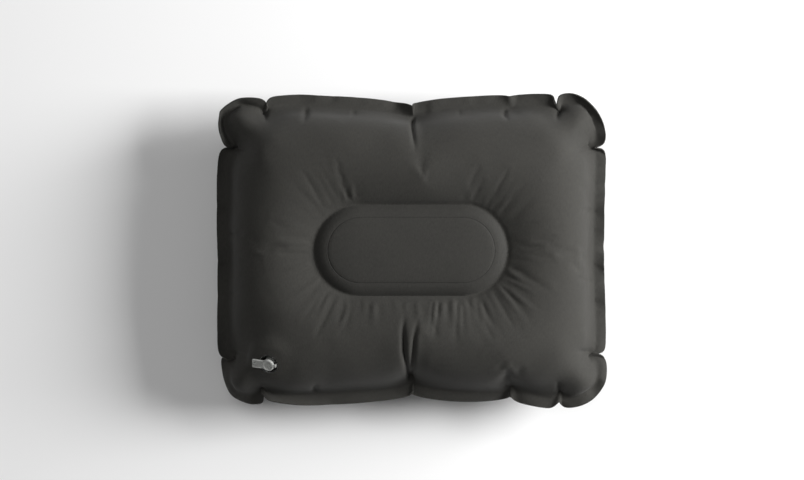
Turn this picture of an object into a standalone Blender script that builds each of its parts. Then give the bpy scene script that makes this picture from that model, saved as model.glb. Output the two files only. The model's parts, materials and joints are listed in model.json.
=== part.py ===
"""Inflatable camp pillow: two coated fabric sheets welded round the edge, held together at the
waist by an oval baffle, with a soft one-piece valve that is pushed in flush when it isn't in use.

The pillow lies on its back on z = 0 with its centre on the Z axis. X runs along its length and
Y along its width, and the valve is in the -X -Y corner of the front. All sizes are in metres.
"""

import math

import bmesh
import bpy
import numpy as np
from mathutils import Matrix, Vector
from mathutils.bvhtree import BVHTree

# The inflated pillow
LENGTH = 0.380
WIDTH = 0.310
THICKNESS = 0.105
CORNER_RADIUS = 0.046
SIDE_DRAW_IN = 0.004  # how much further out the corners stand than the middles of the sides
EDGE_BAND = 0.014  # the welded edge, from its weld line out
FOOT_FLATTENING = 0.0025  # how far the lowest part of the back is pressed flat where it rests
CREST_SHARE = 0.45  # where the pillow is thickest, as a share of the way from oval to edge
CORNER_THINNING = 0.30  # how much thinner the pillow is at its corners
THINNING_START = 0.45  # where that starts, as a share of the way from the middle to a corner

# The oval waist and the baffle inside it
OVAL_LENGTH = 0.188
OVAL_WIDTH = 0.089
OVAL_BAND = 0.0125  # the width that the baffle is welded to each sheet
OVAL_MIDDLE = 0.030  # where the flat middle of the oval begins, in from its edge
WAIST = 0.076  # the thickness at the oval's edge
BAND_RISE = 0.0045  # how far the inner edge of the band stands above its outer edge
OVAL_RISE = 0.0060  # how far the middle of the oval stands above its edge
PORT_RADIUS = 0.008
PORT_OVERSHOOT = 0.01

# Materials' thicknesses and the gap that touching pieces keep
SHEET = 0.0006
BAFFLE_WALL = 0.0005
GAP = 0.0003

# The mesh of the sheets. The shares are of a quarter's columns, from the X axis to the Y axis.
COLUMNS = 64
CORNER_START = 9 / 32
CORNER_END = 19 / 32
RISE_STEPS = 3
WALL_STEPS = 6

# The valve, in its own frame: X towards the strap, Z out of the pillow, z = 0 on the sheet
VALVE_FROM_END = 0.050
VALVE_FROM_SIDE = 0.043
HOLE_RADIUS = 0.0100
FLANGE_RADIUS = 0.0175
FLANGE_THICKNESS = 0.0008
FLANGE_LIP = 0.0004  # how far the flange shows inside the sheet's hole
WELL_DEPTH = 0.0140
WEB_THICKNESS = 0.0007
WEB_TOP = -0.0014
STEM_RADIUS = 0.0052
BORE_RADIUS = 0.0036
MOUTH_RADIUS = 0.0057
MOUTH_HEIGHT = 0.0012
MOUTH_TOP = 0.0003
FOOT_RADIUS = 0.0067
FOOT_THICKNESS = 0.0010
FLAP_RADIUS = 0.0048
FLAP_THICKNESS = 0.0005
CAP_RADIUS = 0.0062
CAP_THICKNESS = 0.0012
PLUG_CLEARANCE = 0.0004
PLUG_LENGTH = 0.0042
PLUG_TAPER = 0.0006
TAB_LENGTH = 0.0100
TAB_WIDTH = 0.0094
TAB_CORNER = 0.0026
STRAP_WIDTH = 0.0030
STRAP_THICKNESS = 0.0009
STRAP_REACH = 0.0083  # how far the strap's top stands out from the valve's axis
STRAP_TO_STEM = 0.00035
SOFT_EDGE = 0.0003
TURNED_STEPS = 32
CUTTER_DEPTH = 0.012

HALF_THICKNESS = (THICKNESS + FOOT_FLATTENING) / 2
SEAM_HEIGHT = HALF_THICKNESS - FOOT_FLATTENING
SEAM_RISE = GAP / 2 + SHEET  # the front sheet's outer face above the seam's middle plane

UP = Vector((0, 0, 1))


# Materials


def material(name, colour, roughness, alpha=1.0):
    made = bpy.data.materials.new(name)
    made.use_nodes = True
    shader = made.node_tree.nodes["Principled BSDF"]
    shader.inputs["Base Color"].default_value = (*colour, 1.0)
    shader.inputs["Roughness"].default_value = roughness
    shader.inputs["Metallic"].default_value = 0.0
    shader.inputs["Alpha"].default_value = alpha
    made.diffuse_color = (*colour, alpha)
    return made


# Shape of the inflated sheets


def outline(half_x, half_y, corner):
    """Points round a rounded rectangle from +X towards +Y, the same number on each quarter."""
    straight_x, straight_y = half_x - corner, half_y - corner
    arc = corner * math.pi / 2
    along = (np.arange(COLUMNS) + 0.5) / COLUMNS * 4
    quarter = along.astype(int)
    share = np.where(quarter % 2 == 0, along - quarter, 1 - (along - quarter))
    stops = [0, CORNER_START, CORNER_END, 1] if straight_y > 0 else [0, 0, CORNER_END, 1]
    travel = np.interp(share, stops, np.cumsum([0, straight_y, arc, straight_x]))
    angle = np.clip((travel - straight_y) / corner, 0, math.pi / 2)
    x = straight_x + corner * np.cos(angle) - np.clip(travel - straight_y - arc, 0, None)
    y = straight_y + corner * np.sin(angle) - np.clip(straight_y - travel, 0, None)
    x *= np.where((quarter == 1) | (quarter == 2), -1, 1)
    y *= np.where(quarter >= 2, -1, 1)
    return np.stack([x, y], axis=1)


def drawn_in(points):
    """Pulls the middles of the sides in, as a filled bag's are."""
    x, y = points.T
    half_x, half_y = LENGTH / 2, WIDTH / 2
    off_end = np.clip(1 - (y / (half_y - CORNER_RADIUS)) ** 2, 0, 1)
    off_side = np.clip(1 - (x / (half_x - CORNER_RADIUS)) ** 2, 0, 1)
    x_pull = SIDE_DRAW_IN * off_end * np.abs(x / half_x) ** 4
    y_pull = SIDE_DRAW_IN * off_side * np.abs(y / half_y) ** 4
    return np.stack([x - x_pull * np.sign(x), y - y_pull * np.sign(y)], axis=1)


def oval(inset):
    """The oval's outline, moved in by inset."""
    half_width = OVAL_WIDTH / 2 - inset
    return outline(OVAL_LENGTH / 2 - inset, half_width, half_width)


def edge(inset):
    """The pillow's outline, moved in by inset."""
    return drawn_in(outline(LENGTH / 2 - inset, WIDTH / 2 - inset, CORNER_RADIUS - inset))


def sheet_rings():
    """(outline, height above the seam's middle plane) of each ring of the front sheet, centre out."""
    waist = WAIST / 2
    rings = [(oval(OVAL_MIDDLE), waist + OVAL_RISE), (oval(OVAL_BAND), waist + BAND_RISE)]
    inner, weld = oval(0), edge(EDGE_BAND)
    for step in range(RISE_STEPS):
        to_crest = 1 - step / RISE_STEPS
        share = CREST_SHARE * (1 - to_crest)
        height = HALF_THICKNESS - (HALF_THICKNESS - waist) * to_crest**2
        rings.append((inner + (weld - inner) * share, height))
    for step in range(WALL_STEPS + 1):
        angle = math.pi / 2 * step / WALL_STEPS
        share = CREST_SHARE + (1 - CREST_SHARE) * math.sin(angle)
        height = max(HALF_THICKNESS * math.cos(angle), SEAM_RISE)
        rings.append((inner + (weld - inner) * share, height))
    rings.append((edge(0), SEAM_RISE))
    return rings


def thinning(ring):
    """The share of the full height at each point of a ring, which is less near the corners."""
    towards_corner = np.min(np.abs(ring) / (LENGTH / 2, WIDTH / 2), axis=1)
    share = np.clip((towards_corner - THINNING_START) / (1 - THINNING_START), 0, 1)
    return 1 - CORNER_THINNING * share**2 * (3 - 2 * share)


def front_points():
    points = []
    for ring, height in sheet_rings():
        heights = SEAM_HEIGHT + np.maximum(height * thinning(ring), SEAM_RISE)
        points.append(np.column_stack([ring, heights]))
    return np.array(points)


def back_points():
    points = front_points()
    points[:, :, 2] = np.maximum(2 * SEAM_HEIGHT - points[:, :, 2], 0)
    return points


# Making objects


def mesh_object(name, points, faces, finish, frame=None):
    mesh = bpy.data.meshes.new(name)
    mesh.from_pydata([tuple(map(float, point)) for point in points], [], faces)
    mesh.materials.append(finish)
    made = bpy.data.objects.new(name, mesh)
    bpy.context.scene.collection.objects.link(made)
    made.parent = frame
    return made


def face_outwards(made):
    work = bmesh.new()
    work.from_mesh(made.data)
    bmesh.ops.remove_doubles(work, verts=work.verts, dist=1e-6)
    bmesh.ops.recalc_face_normals(work, faces=work.faces)
    work.to_mesh(made.data)
    work.free()


def smooth(made, angle_deg=40):
    made.data.shade_smooth()
    made.data.set_sharp_from_angle(angle=math.radians(angle_deg))
    return made


def thicken(made, thickness):
    """Gives a surface its thickness on the side away from its normals."""
    wall = made.modifiers.new("wall", "SOLIDIFY")
    wall.thickness = thickness
    wall.offset = -1
    wall.use_even_offset = True
    return made


def combine(made, other, operation):
    step = made.modifiers.new(f"{operation.lower()} {other.name}", "BOOLEAN")
    step.operation = operation
    step.object = other
    step.solver = "EXACT"


def as_helper(made):
    made.hide_render = True
    made.display_type = "WIRE"
    return made


def strips(count, columns=COLUMNS):
    """Quads between successive rings of points, facing up where the rings run outwards."""
    around = range(columns)
    return [
        (r * columns + c, (r + 1) * columns + c, (r + 1) * columns + (c + 1) % columns, r * columns + (c + 1) % columns)
        for r in range(count - 1)
        for c in around
    ]


def turned(name, profile, finish, frame):
    """A solid turned from a closed profile of (radius, height) about the frame's Z axis."""
    work = bmesh.new()
    corners = [work.verts.new((radius, 0, height)) for radius, height in profile]
    edges = [work.edges.new(pair) for pair in zip(corners, corners[1:] + corners[:1])]
    bmesh.ops.spin(
        work, geom=corners + edges, axis=UP, cent=(0, 0, 0), angle=math.tau, steps=TURNED_STEPS, use_merge=True
    )
    # A side of the profile that runs along the axis leaves faces with no area.
    bmesh.ops.remove_doubles(work, verts=work.verts, dist=1e-6)
    bmesh.ops.dissolve_degenerate(work, edges=work.edges, dist=1e-7)
    bmesh.ops.recalc_face_normals(work, faces=work.faces)
    mesh = bpy.data.meshes.new(name)
    work.to_mesh(mesh)
    work.free()
    mesh.materials.append(finish)
    made = bpy.data.objects.new(name, mesh)
    bpy.context.scene.collection.objects.link(made)
    made.parent = frame
    return smooth(made)


def cylinder(name, radius, low, high, finish, frame):
    return turned(name, [(0, low), (radius, low), (radius, high), (0, high)], finish, frame)


def plate(name, corners, low, high, finish, frame):
    """A flat plate with that outline of (x, y) corners, counter-clockwise."""
    count = len(corners)
    points = [(x, y, z) for z in (low, high) for x, y in corners]
    sides = [(i, (i + 1) % count, count + (i + 1) % count, count + i) for i in range(count)]
    caps = [tuple(reversed(range(count))), tuple(range(count, 2 * count))]
    return mesh_object(name, points, sides + caps, finish, frame)


# The pieces of the pillow


def make_sheet(name, points, facing_up, finish):
    """One coated fabric sheet, from the middle of the oval to the outside of the welded edge."""
    faces = strips(len(points)) + [tuple(range(COLUMNS))]
    if not facing_up:
        faces = [tuple(reversed(face)) for face in faces]
    made = mesh_object(name, points.reshape(-1, 3), faces, finish)
    return smooth(thicken(made, SHEET))


def make_baffle(finish):
    """The oval baffle: a wall with ports, whose two edges turn in and are welded to the sheets."""
    clear = SHEET + GAP
    waist = WAIST / 2
    half = [(oval(OVAL_BAND), waist + BAND_RISE - clear), (oval(0), waist - clear)]
    section = [(ring, SEAM_HEIGHT + height) for ring, height in half]
    section += [(ring, SEAM_HEIGHT - height) for ring, height in reversed(half)]
    points = [(x, y, z) for ring, z in section for x, y in ring]
    made = thicken(mesh_object("oval_baffle", points, strips(len(section)), finish), BAFFLE_WALL)
    for name, reach, turn in (("end_ports", OVAL_LENGTH, "Y"), ("side_ports", OVAL_WIDTH, "X")):
        half_reach = reach / 2 + PORT_OVERSHOOT
        cutter = as_helper(cylinder(name, PORT_RADIUS, -half_reach, half_reach, finish, None))
        place = Matrix.Translation((0, 0, SEAM_HEIGHT)) @ Matrix.Rotation(math.pi / 2, 4, turn)
        cutter.matrix_world = place
        combine(made, cutter, "DIFFERENCE")
    return smooth(made)


# The valve's frame and pieces


def valve_frame(points):
    """An empty on the sheet, with X towards the strap and Z out of the pillow."""
    tree = BVHTree.FromPolygons(points.reshape(-1, 3).tolist(), strips(len(points)))
    above = Vector((VALVE_FROM_END - LENGTH / 2, VALVE_FROM_SIDE - WIDTH / 2, THICKNESS * 2))
    steps = [Vector((FLANGE_RADIUS / 2, 0, 0)), Vector((0, FLANGE_RADIUS / 2, 0))]
    middle = tree.ray_cast(above, -UP)[0]
    out = sum((tree.ray_cast(above + sign * step, -UP)[1] for step in steps for sign in (-1, 1)), Vector())
    out.normalize()
    strap_side = (Vector((1, 0, 0)) - out * out.x).normalized()
    turn = Matrix((strap_side, out.cross(strap_side), out)).transposed().to_4x4()
    frame = bpy.data.objects.new("valve_frame", None)
    bpy.context.scene.collection.objects.link(frame)
    frame.matrix_world = Matrix.Translation(middle) @ turn
    return frame


def pivot(name, frame, x, z):
    """An empty on a joint's axis, which runs along the valve frame's Y."""
    made = bpy.data.objects.new(name, None)
    bpy.context.scene.collection.objects.link(made)
    made.parent = frame
    made.location = (x, 0, z)
    return made


def on_pivot(made, hinge):
    """Hangs a piece that was modelled in the valve's frame on its joint's empty."""
    made.data.transform(Matrix.Translation(-hinge.location))
    made.parent = hinge
    return made


def make_flange(points, frame, finish):
    """The valve's soft flange, which lies against the inside of the sheet round its hole."""
    made = mesh_object("valve_flange", points.reshape(-1, 3), strips(len(points)), finish)
    sink = made.modifiers.new("under the sheet", "DISPLACE")
    sink.direction = "NORMAL"
    sink.mid_level = 0
    sink.strength = -(SHEET + GAP)
    thicken(made, FLANGE_THICKNESS)
    rim = as_helper(cylinder("flange_rim", FLANGE_RADIUS, -CUTTER_DEPTH, CUTTER_DEPTH, finish, frame))
    combine(made, rim, "INTERSECT")
    opening = HOLE_RADIUS - FLANGE_LIP
    hole = as_helper(cylinder("flange_opening", opening, -CUTTER_DEPTH, CUTTER_DEPTH, finish, frame))
    combine(made, hole, "DIFFERENCE")
    return made


def make_web(frame, finish):
    """The thin conical web that joins flange and stem, and rolls when the stem is pulled out."""
    top = HOLE_RADIUS - FLANGE_LIP - GAP
    foot = FOOT_RADIUS + GAP
    profile = [
        (foot, -WELL_DEPTH),
        (foot + WEB_THICKNESS, -WELL_DEPTH),
        (top, WEB_TOP),
        (top - WEB_THICKNESS, WEB_TOP),
    ]
    return turned("valve_web", profile, finish, frame)


def make_stem(frame, finish):
    """The mouthpiece tube, with a thicker mouth and a foot that the web grows from."""
    shoulder = -WELL_DEPTH + FOOT_THICKNESS
    profile = [
        (BORE_RADIUS, -WELL_DEPTH),
        (FOOT_RADIUS, -WELL_DEPTH),
        (FOOT_RADIUS, shoulder),
        (STEM_RADIUS, shoulder),
        (STEM_RADIUS, MOUTH_TOP - MOUTH_HEIGHT - SOFT_EDGE),
        (MOUTH_RADIUS, MOUTH_TOP - MOUTH_HEIGHT),
        (MOUTH_RADIUS, MOUTH_TOP - SOFT_EDGE),
        (MOUTH_RADIUS - SOFT_EDGE, MOUTH_TOP),
        (BORE_RADIUS + SOFT_EDGE, MOUTH_TOP),
        (BORE_RADIUS, MOUTH_TOP - SOFT_EDGE),
    ]
    return turned("valve_stem", profile, finish, frame)


def make_flap(hinge, finish):
    """The check flap that lies under the stem and swings into the pillow to let air in."""
    top = -WELL_DEPTH - GAP
    made = cylinder("check_flap", FLAP_RADIUS, top - FLAP_THICKNESS, top, finish, None)
    return on_pivot(made, hinge)


def make_strap(frame, finish):
    """The tether, a band that stands beside the stem from its foot to the stopper's hinge."""
    low = -WELL_DEPTH + FOOT_THICKNESS + GAP
    path = ((STEM_RADIUS + STRAP_TO_STEM, low), (STRAP_REACH - STRAP_THICKNESS, MOUTH_TOP))
    half = STRAP_WIDTH / 2
    corners = [(x, y, z) for x, z in path for y in (-half, half)]
    corners += [(x + STRAP_THICKNESS, y, z) for x, y, z in corners]
    faces = [(0, 1, 3, 2), (4, 6, 7, 5), (0, 4, 5, 1), (2, 3, 7, 6), (0, 2, 6, 4), (1, 5, 7, 3)]
    made = mesh_object("tether_strap", corners, faces, finish, frame)
    face_outwards(made)
    rounded = made.modifiers.new("soft edges", "BEVEL")
    rounded.width = STRAP_THICKNESS / 4
    rounded.segments = 2
    return made


def rounded_tab(inner, outer, half_width, corner):
    """The outline of a tab that runs from x = -inner to x = -outer with rounded outer corners."""
    arc = [math.pi / 2 * step / 4 for step in range(5)]
    top = [(-outer + corner - corner * math.sin(a), half_width - corner + corner * math.cos(a)) for a in arc]
    bottom = [(x, -y) for x, y in reversed(top)]
    return [(-inner, half_width), *top, *bottom, (-inner, -half_width)]


def make_stopper(hinge, finish):
    """The stopper: a round cap with a plug, a pull tab on one side and the strap's lug on the other."""
    low = MOUTH_TOP + GAP
    high = low + CAP_THICKNESS
    plug_radius = BORE_RADIUS - PLUG_CLEARANCE
    cap = [
        (0, low - PLUG_LENGTH),
        (plug_radius - PLUG_TAPER - SOFT_EDGE, low - PLUG_LENGTH),
        (plug_radius - PLUG_TAPER, low - PLUG_LENGTH + SOFT_EDGE),
        (plug_radius, low),
        (CAP_RADIUS - SOFT_EDGE, low),
        (CAP_RADIUS, low + SOFT_EDGE),
        (CAP_RADIUS, high),
        (CAP_RADIUS - SOFT_EDGE, high + SOFT_EDGE),
        (0, high + SOFT_EDGE),
    ]
    made = turned("stopper", cap, finish, None)
    overlap = CAP_RADIUS / 2
    shapes = {
        "pull_tab": rounded_tab(overlap, CAP_RADIUS + TAB_LENGTH, TAB_WIDTH / 2, TAB_CORNER),
        "strap_lug": [
            (overlap, -STRAP_WIDTH / 2),
            (STRAP_REACH, -STRAP_WIDTH / 2),
            (STRAP_REACH, STRAP_WIDTH / 2),
            (overlap, STRAP_WIDTH / 2),
        ],
    }
    for name, corners in shapes.items():
        shape = plate(name, corners, low + SOFT_EDGE / 3, high - SOFT_EDGE / 3, finish, None)
        on_pivot(as_helper(shape), hinge)
        combine(made, shape, "UNION")
    return on_pivot(made, hinge)


def main():
    for leftover in list(bpy.data.objects):
        bpy.data.objects.remove(leftover)
    fabric = material("charcoal_fabric", (0.045, 0.044, 0.041), 0.85)
    film = material("baffle_film", (0.10, 0.10, 0.10), 0.5)
    soft_pvc = material("clear_soft_pvc", (0.72, 0.72, 0.69), 0.25, alpha=0.75)

    front = front_points()
    frame = valve_frame(front)
    bpy.context.view_layer.update()

    front_sheet = make_sheet("front_sheet", front, True, fabric)
    hole = as_helper(cylinder("valve_hole", HOLE_RADIUS, -CUTTER_DEPTH, CUTTER_DEPTH, fabric, frame))
    combine(front_sheet, hole, "DIFFERENCE")
    make_sheet("back_sheet", back_points(), False, fabric)
    make_baffle(film)

    make_flange(front, frame, soft_pvc)
    make_web(frame, soft_pvc)
    make_stem(frame, soft_pvc)
    make_strap(frame, soft_pvc)
    stopper_hinge = pivot("stopper_hinge", frame, STRAP_REACH + GAP / 2, MOUTH_TOP + GAP / 2)
    make_stopper(stopper_hinge, soft_pvc)
    flap_hinge = pivot("flap_hinge", frame, -FLAP_RADIUS, -WELL_DEPTH - GAP)
    make_flap(flap_hinge, soft_pvc)


main()
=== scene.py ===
"""Looks of an inflatable camp pillow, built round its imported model.

Two sheets are cut flat, welded round the edge and to an oval baffle, and blown up by a cloth
simulation. The soft valve is turned and lofted from profiles. All sizes are in metres.
"""

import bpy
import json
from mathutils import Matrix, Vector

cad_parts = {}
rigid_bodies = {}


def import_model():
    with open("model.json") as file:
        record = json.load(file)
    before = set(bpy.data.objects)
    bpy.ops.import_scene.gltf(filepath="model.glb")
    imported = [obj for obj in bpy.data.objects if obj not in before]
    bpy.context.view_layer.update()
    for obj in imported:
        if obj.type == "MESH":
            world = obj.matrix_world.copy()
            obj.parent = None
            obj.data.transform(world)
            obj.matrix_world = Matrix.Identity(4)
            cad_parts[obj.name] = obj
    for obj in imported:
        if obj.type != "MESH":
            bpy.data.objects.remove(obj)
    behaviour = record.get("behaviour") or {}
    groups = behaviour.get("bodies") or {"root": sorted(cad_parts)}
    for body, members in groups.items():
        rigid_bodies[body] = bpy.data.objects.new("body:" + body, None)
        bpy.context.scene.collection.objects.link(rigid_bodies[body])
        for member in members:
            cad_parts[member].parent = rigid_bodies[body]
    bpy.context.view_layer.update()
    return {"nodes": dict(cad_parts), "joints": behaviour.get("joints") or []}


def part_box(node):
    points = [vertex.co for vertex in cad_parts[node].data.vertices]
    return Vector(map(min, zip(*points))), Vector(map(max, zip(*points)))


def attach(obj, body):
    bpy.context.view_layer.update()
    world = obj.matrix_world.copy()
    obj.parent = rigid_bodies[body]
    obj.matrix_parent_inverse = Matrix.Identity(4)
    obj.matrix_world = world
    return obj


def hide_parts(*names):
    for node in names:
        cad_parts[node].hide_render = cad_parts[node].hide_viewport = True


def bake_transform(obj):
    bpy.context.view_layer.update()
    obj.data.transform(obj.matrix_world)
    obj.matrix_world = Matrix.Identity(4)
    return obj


bl_info = {
    "name": "Camp Pillow",
    "version": (1, 0, 0),
    "blender": (4, 5, 0),
    "location": "View3D > Sidebar > Pillow",
    "description": "Builds an inflatable camp pillow with welded sheets and a push-in air valve",
    "category": "Add Mesh",
}

import json
import math

import bpy
import numpy as np
from mathutils import Vector
from mathutils.geometry import delaunay_2d_cdt

for leftover in list(bpy.data.objects):
    bpy.data.objects.remove(leftover)
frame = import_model()

# Places taken from the frame
JOINTS = {joint["name"]: joint for joint in frame["joints"]}
SEAM_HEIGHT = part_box("front_sheet")[0][2] - 0.00015
OVAL_HALF_LENGTH = 0.094
OVAL_HALF_WIDTH = 0.0445
OVAL_BAND = 0.0125
OVAL_STRIPS = (0.0038, -0.0042, -0.0084)  # rows of the mesh outside (+) and inside the oval's edge

# The valve's own frame: X towards the strap, Z out of the pillow, its origin on the sheet
STOPPER_HINGE_X = 0.00845
STOPPER_HINGE_Z = 0.00045
VALVE_OUT = np.array(JOINTS["valve_pop"]["axis"], float)
VALVE_ACROSS = np.array(JOINTS["stopper_hinge"]["axis"], float)
VALVE_STRAP = np.cross(VALVE_ACROSS, VALVE_OUT)
VALVE_TURN = np.stack([VALVE_STRAP, VALVE_ACROSS, VALVE_OUT])
VALVE_ORIGIN = (
    np.array(JOINTS["stopper_hinge"]["pos_m"], float)
    - VALVE_STRAP * STOPPER_HINGE_X
    - VALVE_OUT * STOPPER_HINGE_Z
)

# The valve in the flat cut, and the simulation
VALVE_CUT_PLACE = np.array([-0.1414, -0.1118])
HOLE_RADIUS = 0.0100
FLANGE_RADIUS = 0.0175
VALVE_CROWN = 0.085
SEAT_DEPTH = 0.0006
SHEET_START = 0.0015
SIM_SCALE = 10.0
RISE_FRAMES = 25
LAST_FRAME = 60
NEAR = 1e-5

# Where the weld is gathered into a pleat: the side, how far along it from its middle, the depth
PLEATS = (
    ("far", -0.156, 0.009),
    ("far", 0.002, 0.0010),
    ("far", 0.105, 0.0020),
    ("far", 0.158, 0.009),
    ("near", -0.157, 0.009),
    ("near", 0.000, 0.0020),
    ("near", 0.108, 0.006),
    ("near", 0.160, 0.008),
    ("left", 0.109, 0.010),
    ("left", -0.114, 0.009),
    ("right", 0.112, 0.009),
    ("right", -0.112, 0.009),
)


def length(name, description, default):
    return bpy.props.FloatProperty(
        name=name, description=description, default=default, unit="LENGTH"
    )


def colour(name, description, default):
    return bpy.props.FloatVectorProperty(
        name=name, description=description, default=default, subtype="COLOR"
    )


class PillowSizes(bpy.types.PropertyGroup):
    """The flat cut of the sheets and how they are blown up."""

    cut_length: length("Cut length", "Flat length of each sheet", 0.426)
    cut_width: length("Cut width", "Flat width of each sheet", 0.342)
    cut_corner: length("Cut corner", "Corner radius of the flat sheets", 0.048)
    end_bulge: length("End bulge", "How far the short sides are cut outwards", 0.006)
    side_bulge: length("Side bulge", "How far the long sides are cut outwards", 0.012)
    edge_band: length("Edge band", "Width of the welded edge", 0.010)
    waist: length("Waist", "Thickness at the oval", 0.076)
    oval_band: length("Oval band", "Width of the oval's weld", OVAL_BAND)
    band_rise: length("Band rise", "Rise across the oval's weld", 0.0065)
    fabric_thickness: length("Fabric thickness", "Thickness of one sheet", 0.0006)
    pressure: bpy.props.FloatProperty(
        name="Pressure", description="Air pressure in the simulation", default=5.0
    )
    mesh_size: length("Mesh size", "Spacing of the sheets' mesh", 0.0053)
    fine_mesh_size: length("Fine mesh size", "Mesh spacing round the oval", 0.0038)


class PillowColours(bpy.types.PropertyGroup):
    """The colours of the pillow's materials."""

    # Yarn and Shade are painted light on the floats' tops and painted shade in the gaps between the
    # yarns
    yarn: colour("Yarn", "Lit face of the yarn", (0.0590, 0.0571, 0.0508))
    shade: colour("Shade", "Gaps between the yarns", (0.0130, 0.0125, 0.0111))
    film: colour("Film", "Airtight film of the baffle", (0.09, 0.09, 0.088))
    pvc: colour("Soft PVC", "Tint of the clear valve", (0.56, 0.57, 0.545))
    floor: colour("Floor", "Colour of the floor", (0.86, 0.86, 0.86))


# Meshes


def make_piece(name, points, faces, finish, flat=None):
    """An object at the origin from points and faces, with a UV map of its flat cut if given."""
    mesh = bpy.data.meshes.new(name)
    faces = faces if isinstance(faces, list) else np.asarray(faces).tolist()
    mesh.from_pydata(np.asarray(points, float).tolist(), [], faces)
    mesh.materials.append(finish)
    mesh.shade_smooth()
    if flat is not None:
        corners = np.empty(len(mesh.loops), np.int32)
        mesh.loops.foreach_get("vertex_index", corners)
        layer = mesh.uv_layers.new(name="flat")
        layer.uv.foreach_set("vector", flat[corners].astype(np.float32).ravel())
    piece = bpy.data.objects.new(name, mesh)
    bpy.context.scene.collection.objects.link(piece)
    return piece


def grid_faces(rows, columns, wrap_rows=False, wrap_columns=True):
    """Quads of a grid of points, row by row, closed in one or both directions."""
    row = np.arange(rows if wrap_rows else rows - 1)[:, None]
    column = np.arange(columns if wrap_columns else columns - 1)[None, :]
    next_row, next_column = (row + 1) % rows, (column + 1) % columns
    corners = (
        row * columns + column,
        row * columns + next_column,
        next_row * columns + next_column,
        next_row * columns + column,
    )
    return np.stack([corner.ravel() for corner in corners], axis=1)


def read_points(mesh):
    """A mesh's points as rows of x, y and z."""
    points = np.empty(len(mesh.vertices) * 3, np.float32)
    mesh.vertices.foreach_get("co", points)
    return points.reshape(-1, 3).astype(float)


def from_valve(points):
    """Points of the valve's frame, moved to where the valve is on the pillow."""
    return VALVE_ORIGIN + np.asarray(points) @ VALVE_TURN


def from_valve_mesh(mesh):
    """The points and faces of a mesh in the valve's frame, moved the same way."""
    points, faces = mesh
    return from_valve(points), faces


def smooth_share(value, low, high):
    """0 below low, 1 above high and a smooth step between."""
    share = np.clip((value - low) / (high - low), 0, 1)
    return share * share * (3 - 2 * share)


# The flat cut


def rectangle_distance(points, half_x, half_y, corner):
    """Distance outside a rounded rectangle: to its inner rectangle, less the radius."""
    reach = np.abs(points) - (half_x - corner, half_y - corner)
    outside = np.linalg.norm(np.maximum(reach, 0), axis=1)
    return outside + np.minimum(reach.max(axis=1), 0) - corner


def oval_distance(points, inset=0.0):
    """Distance outside the oval, moved in by inset: from its middle line, less its half width."""
    along = np.maximum(np.abs(points[:, 0]) - (OVAL_HALF_LENGTH - OVAL_HALF_WIDTH), 0)
    return np.hypot(along, points[:, 1]) - (OVAL_HALF_WIDTH - inset)


def rounded_outline(half_x, half_y, corner, spacing):
    """Points round a rounded rectangle, by distance travelled on sides and arcs."""
    straight_x, straight_y = half_x - corner, half_y - corner
    arc = corner * math.pi / 2
    quarter_length = straight_x + arc + straight_y
    count = 4 * max(4, round(quarter_length / spacing))
    along = np.arange(count) / count * 4
    quarter = along.astype(int)
    share = np.where(quarter % 2 == 0, along - quarter, 1 - (along - quarter))
    travel = share * quarter_length
    angle = np.clip((travel - straight_y) / corner, 0, math.pi / 2)
    x = straight_x + corner * np.cos(angle) - np.clip(travel - straight_y - arc, 0, None)
    y = straight_y + corner * np.sin(angle) - np.clip(straight_y - travel, 0, None)
    x *= np.where((quarter == 1) | (quarter == 2), -1, 1)
    y *= np.where(quarter >= 2, -1, 1)
    return np.stack([x, y], axis=1)


def lattice(half_x, half_y, spacing, seed):
    """Points of a triangular lattice over a rectangle, each nudged so that no fold follows it."""
    rows = np.arange(-half_y, half_y, spacing * math.sqrt(3) / 2)
    columns = np.arange(-half_x, half_x, spacing)
    x = columns[None, :] + np.where(np.arange(len(rows)) % 2, spacing / 2, 0)[:, None]
    y = np.broadcast_to(rows[:, None], x.shape)
    points = np.stack([x.ravel(), y.ravel()], axis=1)
    nudge = np.random.default_rng(seed).uniform(-0.12, 0.12, points.shape) * spacing
    return points + nudge


def fine_region(points):
    """Distance outside the finely meshed part, round the oval and up the middle."""
    return np.minimum(oval_distance(points) - 0.055, np.abs(points[:, 0]) - 0.026)


def oval_outline(out, spacing):
    """Points round the oval, moved outwards by out."""
    width = OVAL_HALF_WIDTH + out
    return rounded_outline(OVAL_HALF_LENGTH + out, width, width - 1e-6, spacing)


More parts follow.
